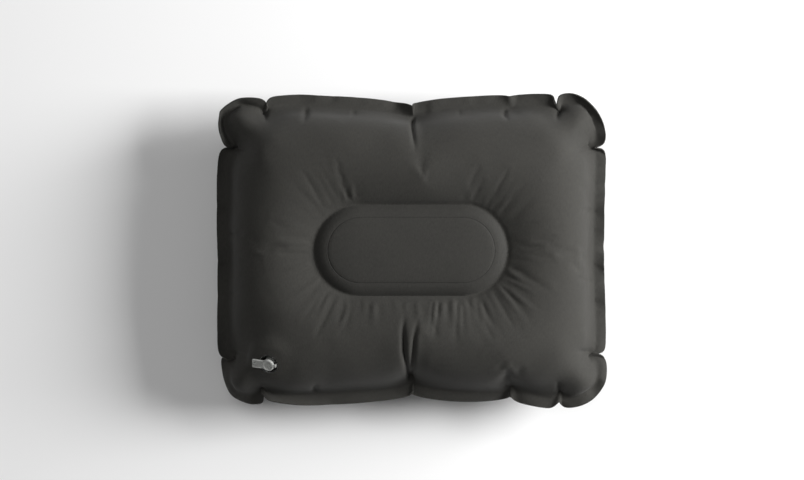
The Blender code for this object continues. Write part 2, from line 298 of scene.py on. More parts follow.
def triangulate(sizes):
    """The flat cut as (points, triangles), with edges along the welds, the oval and the hole."""
    half_x, half_y = sizes.cut_length / 2, sizes.cut_width / 2
    corner, band = sizes.cut_corner, sizes.edge_band
    coarse, fine = sizes.mesh_size, sizes.fine_mesh_size
    turn = np.arange(28) / 28 * math.tau
    circle = np.stack([np.cos(turn), np.sin(turn)], axis=1)
    outlines = [
        rounded_outline(half_x, half_y, corner, coarse),
        rounded_outline(half_x - band, half_y - band, corner - band, coarse * 0.8),
        *(oval_outline(out, fine) for out in (0.0, -sizes.oval_band, *OVAL_STRIPS)),
        VALVE_CUT_PLACE + HOLE_RADIUS * circle,
        VALVE_CUT_PLACE + FLANGE_RADIUS * circle,
    ]
    wide = lattice(half_x, half_y, coarse, 3)
    wide = wide[fine_region(wide) > 0]
    close = lattice(half_x, half_y, fine, 5)
    close = close[fine_region(close) < -coarse * 0.5]
    loose = np.vstack([wide, close])
    from_hole = np.linalg.norm(loose - VALVE_CUT_PLACE, axis=1)
    clear = coarse * 0.45
    keep = rectangle_distance(loose, half_x, half_y, corner) < -clear
    keep &= np.abs(rectangle_distance(loose, half_x - band, half_y - band, corner - band)) > clear
    for out in (0.0, *OVAL_STRIPS):
        keep &= np.abs(oval_distance(loose) - out) > fine * 0.55
    keep &= np.abs(oval_distance(loose, sizes.oval_band)) > fine * 0.5
    for radius in (HOLE_RADIUS, FLANGE_RADIUS):
        keep &= np.abs(from_hole - radius) > fine * 0.5
    starts = np.cumsum([0] + [len(outline) for outline in outlines])
    edges = [
        (start + k, start + (k + 1) % len(outline))
        for start, outline in zip(starts, outlines)
        for k in range(len(outline))
    ]
    given = np.vstack(outlines + [loose[keep]])
    result = delaunay_2d_cdt([Vector(point) for point in given], edges, [], 1, 1e-7)
    points = np.array([tuple(point) for point in result[0]])
    triangles = np.array(result[2])
    first, second, third = (points[triangles[:, k]] for k in range(3))
    turn_way = np.cross(second - first, third - first)
    triangles[turn_way < 0] = triangles[turn_way < 0][:, ::-1]
    return points, triangles


def weld_outline(sizes):
    """Half length, half width and corner radius of the weld's inner edge."""
    band = sizes.edge_band
    return sizes.cut_length / 2 - band, sizes.cut_width / 2 - band, sizes.cut_corner - band


def bulged(points, sizes):
    """The flat cut with its sides bowed out.

    Each coordinate grows by its bulge times its cubed share of the way out, and times one less the
    square of the other coordinate's share, which fades to nothing at the corners.
    """
    half = np.array([sizes.cut_length / 2, sizes.cut_width / 2])
    share = points / half
    bulge = np.array([sizes.end_bulge, sizes.side_bulge]) * np.sign(points)
    return points + bulge * np.abs(share) ** 3 * np.clip(1 - share[:, ::-1] ** 2, 0, 1)


# Materials: expressions on node sockets


def maths(operation, swapped=False):
    """A method that adds a Math node for its value and, if there is one, the other value."""

    def method(self, *other):
        values = (*other, self) if swapped else (self, *other)
        return self.finish.node("ShaderNodeMath", {"operation": operation}, *values)

    return method


class Value:
    """A node's output. Arithmetic on it adds Math nodes."""

    def __init__(self, finish, socket):
        self.finish, self.socket = finish, socket

    __add__, __radd__ = maths("ADD"), maths("ADD", True)
    __sub__, __rsub__ = maths("SUBTRACT"), maths("SUBTRACT", True)
    __mul__, __rmul__ = maths("MULTIPLY"), maths("MULTIPLY", True)
    __truediv__, __pow__ = maths("DIVIDE"), maths("POWER")
    __mod__, __abs__ = maths("FLOORED_MODULO"), maths("ABSOLUTE")
    floor, larger, smaller = maths("FLOOR"), maths("MAXIMUM"), maths("MINIMUM")

    def hypot(self, other):
        """The root of the sum of both squares."""
        return (self * self + other * other) ** 0.5

    def between(self, low, high, start=0.0, end=1.0):
        """Start below low, end above high and a smooth step between."""
        settings = {"interpolation_type": "SMOOTHSTEP"}
        return self.finish.node("ShaderNodeMapRange", settings, self, low, high, start, end)


class Finish:
    """A material whose nodes are written as expressions."""

    def __init__(self, name, roughness, **constants):
        self.material = bpy.data.materials.new(name)
        self.material.use_nodes = True
        self.tree = self.material.node_tree
        self.shader = self.tree.nodes["Principled BSDF"]
        self.set(self.shader, "Roughness", roughness)
        for socket, value in constants.items():
            self.set(self.shader, socket.replace("_", " ").title().replace("Ior", "IOR"), value)

    def set(self, node, socket, value):
        """Links a Value to a socket, or sets a constant on it, with an alpha of 1 on a colour."""
        target = node.inputs[socket]
        if isinstance(value, Value):
            self.tree.links.new(value.socket, target)
        elif hasattr(target.default_value, "__len__") and hasattr(value, "__len__"):
            filled = list(value) + [1.0] * (len(target.default_value) - len(value))
            target.default_value = filled
        else:
            target.default_value = value

    def node(self, kind, settings, *inputs, output=0, **named):
        """Adds a node: its settings first, then its inputs by order or by name."""
        node = self.tree.nodes.new(kind)
        for setting, value in settings.items():
            setattr(node, setting, value)
        for index, value in enumerate(inputs):
            self.set(node, index, value)
        for socket, value in named.items():
            self.set(node, socket.replace("_", " ").title(), value)
        return Value(self, node.outputs[output])

    def place(self):
        return self.node("ShaderNodeTexCoord", {}, output="Object")

    def flat(self):
        return self.node("ShaderNodeUVMap", {"uv_map": "flat"})

    def axes(self, vector):
        split = self.tree.nodes.new("ShaderNodeSeparateXYZ")
        self.set(split, 0, vector)
        return [Value(self, output) for output in split.outputs]

    def vector(self, x, y, z=0.0):
        return self.node("ShaderNodeCombineXYZ", {}, x, y, z)

    def noise(self, vector, scale, detail=2.0, roughness=0.5):
        sockets = {"vector": vector, "scale": scale, "detail": detail, "roughness": roughness}
        return self.node("ShaderNodeTexNoise", {"noise_dimensions": "3D"}, **sockets)

    def mix(self, share, first, second):
        """A colour between two colours."""
        node = self.tree.nodes.new("ShaderNodeMix")
        node.data_type = "RGBA"
        self.set(node, 0, share)
        self.set(node, 6, first)
        self.set(node, 7, second)
        return Value(self, node.outputs[2])

    def colour(self, value):
        self.set(self.shader, "Base Color", value)

    def roughness(self, value):
        self.set(self.shader, "Roughness", value)

    def bump(self, height, distance, strength=1.0):
        """Raises the surface by height times distance, on top of any earlier bump."""
        earlier = self.shader.inputs["Normal"]
        under = Value(self, earlier.links[0].from_socket) if earlier.is_linked else None
        node = self.tree.nodes.new("ShaderNodeBump")
        self.set(node, "Strength", strength)
        self.set(node, "Distance", distance)
        self.set(node, "Height", height)
        if under:
            self.set(node, "Normal", under)
        self.set(self.shader, "Normal", Value(self, node.outputs[0]))


def woven_fabric(colours, sizes):
    """Charcoal plain weave: columns of short raised floats, heathered, with painted light on the
    floats' tops and painted shade in the gaps between them, darker inside the oval, and painted
    shade in the groove along the band's inner edge.

    A float's height is 1 less 4 times the square of the place across its yarn, times 1 less 3.2
    times the square of the place along it.
    """
    finish = Finish(
        "woven_fabric", 0.86, sheen_weight=0.05, sheen_roughness=0.5, specular_ior_level=0.25
    )
    x, y, _ = finish.axes(finish.flat())
    column = x / 0.00052
    row = y / 0.00078 + column.floor() * 0.5
    across, along = column % 1.0 - 0.5, row % 1.0 - 0.5
    float_height = (1.0 - 4.0 * across * across) * (1.0 - 3.2 * along * along)
    uneven = finish.noise(finish.vector(x * 1900.0, y * 300.0), 1.0, 1.0)
    heather = finish.noise(finish.vector(x * 700.0, y * 240.0), 1.0, 3.0, 0.6)
    cloud = finish.noise(finish.flat(), 22.0, 3.0, 0.55)
    # The floats' tops are painted light and the gaps between them painted shade; the heather and
    # cloud noise is the yarn's own uneven tone
    lit = float_height * (0.55 + 0.9 * uneven)
    share = (lit * 0.8 + (heather - 0.5) * 0.35 + (cloud - 0.5) * 0.25).larger(0.0).smaller(1.0)
    woven = finish.mix(share, tuple(colours.shade), tuple(colours.yarn))
    past_line = (abs(x) - (OVAL_HALF_LENGTH - OVAL_HALF_WIDTH)).larger(0.0)
    oval_out = past_line.hypot(y) - OVAL_HALF_WIDTH
    # Inside the oval the colour is mixed 16 per cent towards black and the roughness drops a little
    in_oval = 1.0 - oval_out.between(-0.0006, 0.0006)
    woven = finish.mix(in_oval * 0.16, woven, (0.0, 0.0, 0.0))
    # The line at the band's inner edge is a groove in the bump and the geometry; its darker colour
    # is painted shade in that groove
    line = 1.0 - (abs(oval_out + sizes.oval_band) / 0.0007).smaller(1.0)
    woven = finish.mix(line * 0.28, woven, (0.004, 0.004, 0.004))
    finish.colour(woven)
    finish.roughness((cloud - 0.5) * 0.12 + 0.85 - in_oval * 0.08)
    finish.bump(line * -1.0, 0.0004, 0.7)
    finish.bump(float_height, 0.00009, 0.5)
    return finish


def baffle_film(colours):
    """Airtight film, slightly creased."""
    finish = Finish("baffle_film", 0.45)
    crease = finish.noise(finish.place(), 90.0, 4.0, 0.6)
    finish.colour(finish.mix(crease, tuple(c * 0.8 for c in colours.film), tuple(colours.film)))
    finish.roughness(crease * 0.2 + 0.35)
    finish.bump(crease, 0.0004, 0.5)
    return finish


def soft_pvc(colours, name, clearness):
    """Soft PVC: slightly wavy, milkier the less clear it is."""
    coat = {"coat_weight": 0.3, "coat_roughness": 0.2}
    finish = Finish(name, 0.28, transmission_weight=clearness, ior=1.52, **coat)
    wave = finish.noise(finish.place(), 260.0, 1.0, 0.4)
    grime = finish.noise(finish.place(), 140.0, 2.0, 0.6)
    tint = tuple(colours.pvc)
    finish.colour(finish.mix(grime.between(0.35, 0.75), tint, tuple(c * 0.86 for c in tint)))
    finish.roughness(wave * 0.2 + 0.2)
    finish.bump(wave, 0.00004, 0.3)
    return finish


# The blown-up sheets


def pleated(points, cut, half_x, half_y):
    """The flat bag with its weld pinched where it is to fold.

    Near each pleat a point moves inwards by the pleat's depth times a bell curve of its distance
    along the side, fading to nothing 30 mm inside the weld, and towards the pleat's middle line.
    The edge band also rises there, so that every pleat folds the same way.
    """
    pinched = points.copy()
    for side, middle, depth in PLEATS:
        along, out = (0, 1) if side in ("far", "near") else (1, 0)
        sign = 1.0 if side in ("far", "right") else -1.0
        off = points[:, along] - middle
        beyond = sign * cut[:, out] - (half_y if out else half_x)
        fade = np.clip(1 + beyond / 0.030, 0, 1) * (beyond > -0.06)
        bell = np.exp(-((off / 0.007) ** 2)) * fade
        pinched[:, out] -= sign * depth * bell
        pinched[:, along] -= 0.45 * off * np.exp(-((off / 0.016) ** 2)) * fade
        pinched[:, 2] += 0.004 * bell * np.clip(beyond / 0.006, 0, 1)
    return pinched


def braces(cut, weld_distance, inner, back_number, half_x, half_y, corner):
    """Edges from the middle of the edge band to both sheets, which keep it level between them.

    Each goes straight in, against the slope of the distance, to the point nearest to 5 mm inside
    the weld.
    """
    outer = np.nonzero((weld_distance > 0.0025) & (weld_distance < 0.0078))[0]
    step = 1e-4
    slope = [
        rectangle_distance(cut[outer] + nudge, half_x, half_y, corner)
        - rectangle_distance(cut[outer] - nudge, half_x, half_y, corner)
        for nudge in ((step, 0), (0, step))
    ]
    outwards = np.stack(slope, axis=1) / (2 * step)
    goal = cut[outer] - outwards * (weld_distance[outer] + 0.005)[:, None]
    candidates = np.nonzero(inner & (weld_distance > -0.02))[0]
    gap = np.linalg.norm(cut[candidates][None, :] - goal[:, None], axis=2)
    nearest = candidates[gap.argmin(axis=1)]
    both = [np.stack([outer, number], axis=1) for number in (nearest, back_number[nearest])]
    return np.concatenate(both).tolist()


def simulate(start, rest, target, faces, edges, held, airtight, welded, pressure):
    """Raises the held points from start to target, blows the bag up and returns its points.

    The bag is SIM_SCALE times its real size in here.
    """
    mesh = bpy.data.meshes.new("bag")
    mesh.from_pydata((start * SIM_SCALE).tolist(), edges, faces.tolist())
    bag = bpy.data.objects.new("bag", mesh)
    bpy.context.scene.collection.objects.link(bag)
    for name, members in (("held", held), ("air", airtight), ("welded", welded)):
        bag.vertex_groups.new(name=name).add(np.nonzero(members)[0].tolist(), 1.0, "REPLACE")
    bag.shape_key_add(name="start")
    for name, places in (("rest", rest), ("raised", target)):
        key = bag.shape_key_add(name=name)
        key.data.foreach_set("co", (places * SIM_SCALE).astype(np.float32).ravel())
        key.value = 0.0
    raised = mesh.shape_keys.key_blocks["raised"]
    for value, at in ((0.0, 1), (1.0, RISE_FRAMES)):
        raised.value = value
        raised.keyframe_insert("value", frame=at)
    cloth = bag.modifiers.new("blow up", "CLOTH")
    fabric = cloth.settings
    fabric.rest_shape_key = mesh.shape_keys.key_blocks["rest"]
    fabric.quality = 6
    fabric.mass = 0.3
    fabric.tension_stiffness, fabric.compression_stiffness, fabric.shear_stiffness = 60, 10, 10
    fabric.tension_damping = fabric.compression_damping = 8
    fabric.shear_damping = 5
    fabric.bending_stiffness, fabric.bending_stiffness_max = 0.5, 5.0
    fabric.vertex_group_bending = "welded"
    fabric.bending_damping = 0.5
    fabric.air_damping = 4
    fabric.use_pressure = True
    fabric.uniform_pressure_force = pressure
    fabric.vertex_group_pressure = "air"
    fabric.vertex_group_mass = "held"
    fabric.effector_weights.gravity = 0
    cloth.collision_settings.use_collision = False
    cloth.point_cache.frame_end = LAST_FRAME
    scene = bpy.context.scene
    scene.frame_start, scene.frame_end = 1, LAST_FRAME
    for step in range(1, LAST_FRAME + 1):
        scene.frame_set(step)
    blown = bag.evaluated_get(bpy.context.evaluated_depsgraph_get()).to_mesh()
    result = read_points(blown) / SIM_SCALE
    bpy.data.objects.remove(bag)
    for action in list(bpy.data.actions):
        bpy.data.actions.remove(action)
    scene.frame_set(1)
    return result


def relaxed(points, triangles, weight, rounds):
    """Each point moved towards the middle of its neighbours by its weight, many times over."""
    pairs = np.concatenate([triangles[:, [0, 1]], triangles[:, [1, 2]], triangles[:, [2, 0]]])
    pairs = np.unique(np.sort(pairs, axis=1), axis=0)
    first, second = pairs.T
    neighbours = np.bincount(pairs.ravel(), minlength=len(points))[:, None]
    step = 0.6 * weight[:, None]
    for _ in range(rounds):
        total = np.zeros_like(points)
        np.add.at(total, first, points[second])
        np.add.at(total, second, points[first])
        points = points + step * (total / neighbours - points)
    return points


def eased(points, cut, triangles, weld_distance, half_x, half_y, upwards):
    """The blown-up sheet with its corners filled out and smoothed.

    Smoothing is full near the four corners and at the middle of the long sides, and light along
    the weld. Then each corner swells by a bell curve of the distance from its middle, which fades
    to nothing at the weld.
    """
    inside = weld_distance < -NEAR
    from_corner = np.hypot(*(np.abs(cut) - (half_x - 0.024, half_y - 0.024)).T)
    corner = np.exp(-((from_corner / 0.042) ** 4))
    middle = np.exp(-((cut[:, 0] / 0.050) ** 4)) * smooth_share(np.abs(cut[:, 1]), 0.080, 0.105)
    along_weld = smooth_share(weld_distance, -0.030, -0.016)
    weight = np.maximum(corner, 0.7 * middle) * inside
    points = relaxed(points, triangles, weight, 22)
    points = relaxed(points, triangles, 0.8 * along_weld * inside, 6)
    swell = 0.0062 * np.exp(-((from_corner / 0.021) ** 2)) * smooth_share(-weld_distance, 0, 0.011)
    outwards = np.column_stack([0.62 * np.sign(cut), np.full(len(cut), upwards)])
    return points + swell[:, None] * outwards


def seated(front, cut):
    """The front sheet eased onto the valve's flange.

    A rigid move takes the simulated hole to the valve, fading out over the sheet round it. Then
    the points over the flange are set on its domed seat, fading out just beyond it.
    """
    from_hole = cut - VALVE_CUT_PLACE
    radius = np.linalg.norm(from_hole, axis=1)
    dome = -SEAT_DEPTH - radius**2 / (2 * VALVE_CROWN)
    seat = from_valve(np.column_stack([from_hole, dome]))
    disc = radius < FLANGE_RADIUS
    here, there = front[disc].mean(axis=0), seat[disc].mean(axis=0)
    u, _, vt = np.linalg.svd((front[disc] - here).T @ (seat[disc] - there))
    turn = (u @ np.diag([1, 1, np.linalg.det(u @ vt)]) @ vt).T
    moved = (front - here) @ turn.T + there
    wide = (1 - smooth_share(radius, 0.022, 0.062))[:, None]
    moved = front + (moved - front) * wide
    close = (1 - smooth_share(radius, FLANGE_RADIUS, 0.030))[:, None]
    return moved + (seat - moved) * close


def blow_up(sizes):
    """Cuts the bag flat, pinches its pleats, holds its oval and blows it up.

    Returns the cut, the cut with its sides bowed, the blown-up points of front and back, and the
    triangles.
    """
    cut, triangles = triangulate(sizes)
    half_x, half_y, corner = weld_outline(sizes)
    weld_distance = rectangle_distance(cut, half_x, half_y, corner)
    inner = weld_distance < -NEAR
    count = len(cut)
    back_number = np.arange(count)
    back_number[inner] = count + np.arange(inner.sum())
    flat = bulged(cut, sizes)
    in_bag = rectangle_distance(cut[triangles].mean(axis=1), half_x, half_y, corner) < 0
    back_triangles = back_number[triangles[in_bag]][:, ::-1]
    side = np.concatenate([np.where(inner, 1.0, 0.0), np.full(inner.sum(), -1.0)])
    rest = np.column_stack([np.vstack([flat, flat[inner]]), side * SHEET_START])
    both_cut = np.vstack([cut, cut[inner]])
    both_weld = np.concatenate([weld_distance, weld_distance[inner]])
    start = pleated(rest, both_cut, half_x, half_y)
    oval_out = oval_distance(both_cut)
    held = (oval_out < NEAR) & (oval_distance(both_cut, sizes.oval_band) > -NEAR)
    rise = sizes.waist / 2 + sizes.band_rise * np.clip(-oval_out / sizes.oval_band, 0, 1)
    target = start.copy()
    target[held, 2] = (side * rise)[held]
    result = simulate(
        start,
        rest,
        target,
        np.vstack([triangles, back_triangles]),
        braces(cut, weld_distance, inner, back_number, half_x, half_y, corner),
        held,
        both_weld < -NEAR,
        both_weld > 1e-3,
        sizes.pressure,
    )
    result += (0, 0, SEAM_HEIGHT)
    front, back = (
        eased(sheet, cut, triangles, weld_distance, half_x, half_y, upwards)
        for sheet, upwards in ((result[:count], 1.0), (result[back_number], -1.0))
    )
    return cut, flat, seated(front, cut), back, triangles


# Creases: lines of (x, y) in the pillow's plan from the edge inwards, their depth and half width
CREASES = (
    (
        ((0.002, -0.146), (-0.001, -0.128), (-0.007, -0.100), (-0.008, -0.076), (-0.006, -0.058)),
        0.0052,
        0.0023,
    ),
    (((0.003, -0.140), (0.001, -0.114), (0.003, -0.084), (0.008, -0.060)), 0.0036, 0.0021),
    (((0.002, 0.146), (0.001, 0.122), (0.003, 0.104), (0.004, 0.092)), 0.0028, 0.0020),
    (((-0.106, 0.148), (-0.104, 0.134), (-0.107, 0.122)), 0.0018, 0.0022),
    (((0.095, 0.148), (0.093, 0.134), (0.096, 0.124)), 0.0018, 0.0022),
    (((-0.058, 0.148), (-0.057, 0.138), (-0.058, 0.130)), 0.0010, 0.0020),
    (((0.046, 0.148), (0.048, 0.138), (0.047, 0.131)), 0.0009, 0.0020),
    (((0.100, -0.148), (0.096, -0.138), (0.092, -0.130)), 0.0018, 0.0022),
    (((-0.096, -0.148), (-0.096, -0.138), (-0.093, -0.128)), 0.0012, 0.0022),
    (((-0.184, 0.016), (-0.172, 0.016), (-0.163, 0.018)), 0.0010, 0.0022),
    (((-0.184, -0.044), (-0.173, -0.043), (-0.166, -0.040)), 0.0008, 0.0020),
    (((0.184, 0.040), (0.172, 0.039), (0.162, 0.036)), 0.0012, 0.0022),
    (((0.184, -0.030), (0.172, -0.030), (0.160, -0.027)), 0.0010, 0.0022),
    (((-0.147, 0.152), (-0.146, 0.138), (-0.143, 0.124)), 0.0024, 0.0022),
    (((-0.188, 0.100), (-0.173, 0.100), (-0.160, 0.097)), 0.0024, 0.0022),
    (((0.148, 0.152), (0.147, 0.138), (0.143, 0.125)), 0.0024, 0.0022),
    (((0.188, 0.102), (0.173, 0.102), (0.160, 0.098)), 0.0022, 0.0022),
    (((0.150, -0.152), (0.148, -0.139), (0.144, -0.126)), 0.0024, 0.0022),
    (((0.188, -0.102), (0.174, -0.101), (0.160, -0.098)), 0.0024, 0.0022),
    (((-0.188, -0.104), (-0.176, -0.103), (-0.166, -0.101)), 0.0020, 0.0022),
    (((-0.142, -0.153), (-0.142, -0.144), (-0.141, -0.136)), 0.0020, 0.0020),
)

# Wrinkles that fan out from the oval: the share of the way round from the right end, first and
# last, how many, their length and their height
WRINKLES = (
    (-0.20, -0.03, 13, 0.050, 0.00105),
    (-0.29, -0.20, 4, 0.034, 0.00045),
    (-0.02, 0.10, 8, 0.032, 0.00045),
    (0.10, 0.15, 2, 0.024, 0.00025),
    (0.36, 0.42, 3, 0.030, 0.00050),
    (-0.52, -0.45, 4, 0.034, 0.00050),
    (-0.45, -0.31, 8, 0.042, 0.00060),
)


def crease_depth(points):
    """How deep the creases are at each point: a bell curve of its distance from each line.

    A line's depth falls to nothing at its inner end.
    """
    depth = np.zeros(len(points))
    for line, deepest, half_width in CREASES:
        line = np.array(line)
        lengths = np.linalg.norm(np.diff(line, axis=0), axis=1)
        travelled = np.concatenate([[0], np.cumsum(lengths)])
        best = np.full(len(points), 1.0)
        share = np.zeros(len(points))
        for start, end, before, length in zip(line[:-1], line[1:], travelled, lengths):
            t = np.clip((points - start) @ (end - start) / length**2, 0, 1)
            gap = np.linalg.norm(points - start - t[:, None] * (end - start), axis=1)
            nearer = gap < best
            best = np.where(nearer, gap, best)
            share = np.where(nearer, (before + t * length) / travelled[-1], share)
        fade = 1 - smooth_share(share, 0.55, 1.0)
        depth += deepest * np.exp(-((best / half_width) ** 2)) * fade
    return depth


def wrinkle_height(points, seed):
    """Fine wrinkles round the oval, as heights.

    A point has a distance from the oval and a place round it. Each wrinkle is a ridge between two
    valleys, (1 - 2uu) times the bell curve of u, where u is how far round the point is from the
    wrinkle's middle line. It rises over 7 mm from close to the oval and fades over its length.
    """
    straight = OVAL_HALF_LENGTH - OVAL_HALF_WIDTH
    x, y = points.T
    over_end = np.abs(x) > straight
    angle = np.arctan2(np.abs(y), np.maximum(np.abs(x) - straight, 1e-9))
    arc = OVAL_HALF_WIDTH * math.pi / 2
    quarter = arc + straight
    place = np.where(over_end, angle * OVAL_HALF_WIDTH, arc + straight - np.abs(x)) / (4 * quarter)
    place = np.where(x < 0, 0.5 - place, place)
    place = np.where(y < 0, -place, place)
    out = oval_distance(points)
    spread = 1 + np.clip(out, 0, None) * over_end / OVAL_HALF_WIDTH
    rng = np.random.default_rng(seed)
    height = np.zeros(len(points))
    for first, last, count, length, tall in WRINKLES:
        for k in range(count):
            middle = first + (last - first) * (k + 0.5 + rng.uniform(-0.42, 0.42)) / count
            reach = length * rng.uniform(0.5, 1.3)
            begins = rng.uniform(0.001, 0.007)
            width = rng.uniform(0.0022, 0.0042) * (1 + np.clip(out, 0, None) / 0.09)
            lean = rng.uniform(-0.16, 0.16)
            off = (place - middle + 0.5) % 1.0 - 0.5
            u = (off * 4 * quarter * spread - lean * out) / width
            fade = smooth_share(out, begins, begins + 0.007)
            fade *= 1 - smooth_share(out, 0.35 * reach, reach)
            height += tall * rng.uniform(0.35, 1.3) * (1 - 2 * u * u) * np.exp(-u * u) * fade
    return height


def oval_relief(cut):
    """The oval's moulded edge, as heights.

    A bell-shaped valley lies just outside it, half a sine wave over its band is the shoulder, and a
    narrow bell is the line at the band's inner edge.
    """
    out = oval_distance(cut)
    valley = -0.0009 * np.exp(-(((out - 0.0006) / 0.0022) ** 2))
    shoulder = 0.0009 * np.sin(math.pi * np.clip(-out / OVAL_BAND, 0, 1))
    line = -0.0003 * np.exp(-(((out + OVAL_BAND) / 0.0015) ** 2))
    return valley + shoulder + line


def refined(name, points, faces, flat, cut):
    """The sheet's mesh with one level of subdivision applied, and each point's place in the cut."""
    coarse = make_piece(name + "_coarse", points, faces, None, flat)
    carried = np.column_stack([cut, np.zeros(len(cut))]).astype(np.float32)
    place = coarse.data.attributes.new("cut", "FLOAT_VECTOR", "POINT")
    place.data.foreach_set("vector", carried.ravel())
    finer = coarse.modifiers.new("finer", "SUBSURF")
    finer.levels = finer.render_levels = 1
    evaluated = coarse.evaluated_get(bpy.context.evaluated_depsgraph_get())
    mesh = bpy.data.meshes.new_from_object(evaluated)
    bpy.data.objects.remove(coarse)
    mesh.name = name
    fine_cut = np.empty(len(mesh.vertices) * 3, np.float32)
    mesh.attributes["cut"].data.foreach_get("vector", fine_cut)
    mesh.attributes.remove(mesh.attributes["cut"])
    piece = bpy.data.objects.new(name, mesh)
    bpy.context.scene.collection.objects.link(piece)
    return piece, fine_cut.reshape(-1, 3)[:, :2].astype(float)


def thicken(piece, thickness):
    """Gives the sheet its wall, outwards, with a crisp edge at its rim and round its hole."""
    wall = piece.modifiers.new("wall", "SOLIDIFY")
    wall.thickness = thickness
    wall.offset = 1.1
    evaluated = piece.evaluated_get(bpy.context.evaluated_depsgraph_get())
    thick = bpy.data.meshes.new_from_object(evaluated)
    piece.modifiers.remove(wall)
    thick.set_sharp_from_angle(angle=math.radians(62))
    piece.data = thick
    thick.name = piece.name


def rest_on_floor(points, clearance):
    """Presses what would be under the floor flat: height becomes a soft maximum of itself and 0."""
    softness = 0.0012
    lifted = points.copy()
    height = points[:, 2] - clearance
    lifted[:, 2] = clearance + softness * np.logaddexp(0, height / softness)
    return lifted


class PILLOW_OT_sheets(bpy.types.Operator):
    """Makes the front and back sheets and blows them up"""

    bl_idname = "pillow.sheets"
    bl_label = "Sheets"

    def execute(self, context):
        sizes, colours = context.scene.pillow_sizes, context.scene.pillow_colours
        finish = woven_fabric(colours, sizes).material
        cut, flat, front, back, triangles = blow_up(sizes)
        hole = np.linalg.norm(cut[triangles].mean(axis=1) - VALVE_CUT_PLACE, axis=1) < HOLE_RADIUS
        for name, points, faces in (
            ("front", front, triangles[~hole]),
            ("back", back, triangles[:, ::-1]),
        ):
            piece, fine_cut = refined(name + "_cloth", points, faces, flat, cut)
            mesh = piece.data
            points = read_points(mesh)
            outwards = np.empty(len(points) * 3, np.float32)
            mesh.vertices.foreach_get("normal", outwards)
            inwards = -rectangle_distance(fine_cut, *weld_outline(sizes))
            from_hole = np.linalg.norm(fine_cut - VALVE_CUT_PLACE, axis=1)
            on_sheet = smooth_share(inwards, 0.0005, 0.008) * smooth_share(from_hole, 0.018, 0.026)
            share, seed = (1.0, 11) if name == "front" else (0.75, 29)
            relief = wrinkle_height(fine_cut, seed) - share * crease_depth(points[:, :2])
            relief = relief * on_sheet + oval_relief(fine_cut)
            points += outwards.reshape(-1, 3) * relief[:, None]
            points = rest_on_floor(points, sizes.fabric_thickness * 1.2)
            mesh.vertices.foreach_set("co", points.astype(np.float32).ravel())
            mesh.materials.clear()
            mesh.materials.append(finish)
            mesh.shade_smooth()
            thicken(piece, sizes.fabric_thickness)
            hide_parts(name + "_sheet")
            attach(piece, "pillow")
        return {"FINISHED"}


# The valve


def rounded_profile(corners, radii, steps=5):
    """A closed profile with each corner replaced by a curve of its own radius.

    Each curve is a parabola from one side's tangent point to the other's, with the corner as its
    control point.
    """
    corners, radii = np.asarray(corners, float), np.asarray(radii, float)
    to_last = np.roll(corners, 1, axis=0) - corners
    to_next = np.roll(corners, -1, axis=0) - corners
    start = corners + to_last / np.linalg.norm(to_last, axis=1)[:, None] * radii[:, None]
    end = corners + to_next / np.linalg.norm(to_next, axis=1)[:, None] * radii[:, None]
    t = np.linspace(0, 1, steps)[None, :, None]
    curve = (1 - t) ** 2 * start[:, None] + 2 * t * (1 - t) * corners[:, None] + t**2 * end[:, None]
    return curve.reshape(-1, 2)


def turned(name, profile, finish, segments=72):
    """A ring about the valve's axis: each (radius, height) of a closed profile is a circle."""
    radius, height = np.asarray(profile, float).T
    turn = np.arange(segments) / segments * math.tau
    across = np.stack([np.cos(turn), np.sin(turn)], axis=-1)
    points = np.empty((len(radius), segments, 3))
    points[..., :2] = radius[:, None, None] * across
    points[..., 2] = height[:, None]
    faces = grid_faces(len(radius), segments, wrap_rows=True)
    piece = make_piece(name, from_valve(points.reshape(-1, 3)), faces, finish)
    return outward(piece)


def with_rows(profile, row, shares):
    """A closed profile with more points on the straight line after one of its points."""
    start, end = profile[row], profile[row + 1]
    return np.insert(profile, row + 1, start + (end - start) * shares[:, None], axis=0)


def outward(piece):
    """Turns every face of a closed mesh outwards, judged by its volume's sign."""
    mesh = piece.data
    mesh.calc_loop_triangles()
    points = read_points(mesh)
    corners = np.empty(len(mesh.loop_triangles) * 3, np.int32)
    mesh.loop_triangles.foreach_get("vertices", corners)
    first, second, third = np.moveaxis(points[corners.reshape(-1, 3)] - points.mean(axis=0), 1, 0)
    if np.einsum("ij,ij->i", first, np.cross(second, third)).sum() < 0:
        mesh.flip_normals()
    return piece


def soft_maximum(values, softness):
    """A smooth version of the largest of several values."""
    values = np.stack(values)
    return softness * np.log(np.exp(values / softness).sum(axis=0))


CAP_RADIUS = 0.0062
CAP_UNDERSIDE = 0.0006
CAP_TOP = 0.0018
PLUG_RADIUS = 0.0032
PLUG_END = -0.0036
TAB_END = 0.0162
TAB_HALF_WIDTH = 0.0046
LUG_END = 0.0083
LUG_HALF_WIDTH = 0.0015
RIB_PITCH = 0.0019
RIBS_START = 0.0112
SEAT_STEPS = 6
VIEW_WIDTH = 0.804
VIEW_HEIGHT = 1.9


def stopper_reach(turn):
    """How far the stopper's outline is from its middle in each direction.

    It is the soft maximum of a circle, a rounded tab to the left and a small lug to the right. In
    its direction each bar reaches to its end or to its side, whichever comes first.
    """
    x, y = np.cos(turn), np.sin(turn)

    def bar(end, half_width, forward, corner):
        to_end = np.where(forward > 1e-3, end / np.maximum(forward, 1e-3), 0)
        to_side = half_width / np.maximum(np.abs(y), 1e-4)
        sharp = -soft_maximum([-to_end, -to_side], corner)
        return np.where(forward > 1e-3, sharp, 0)

    tab = bar(TAB_END, TAB_HALF_WIDTH, -x, 0.0007)
    lug = bar(LUG_END, LUG_HALF_WIDTH, x, 0.0002)
    return soft_maximum([np.full_like(turn, CAP_RADIUS), tab, lug], 0.00025)


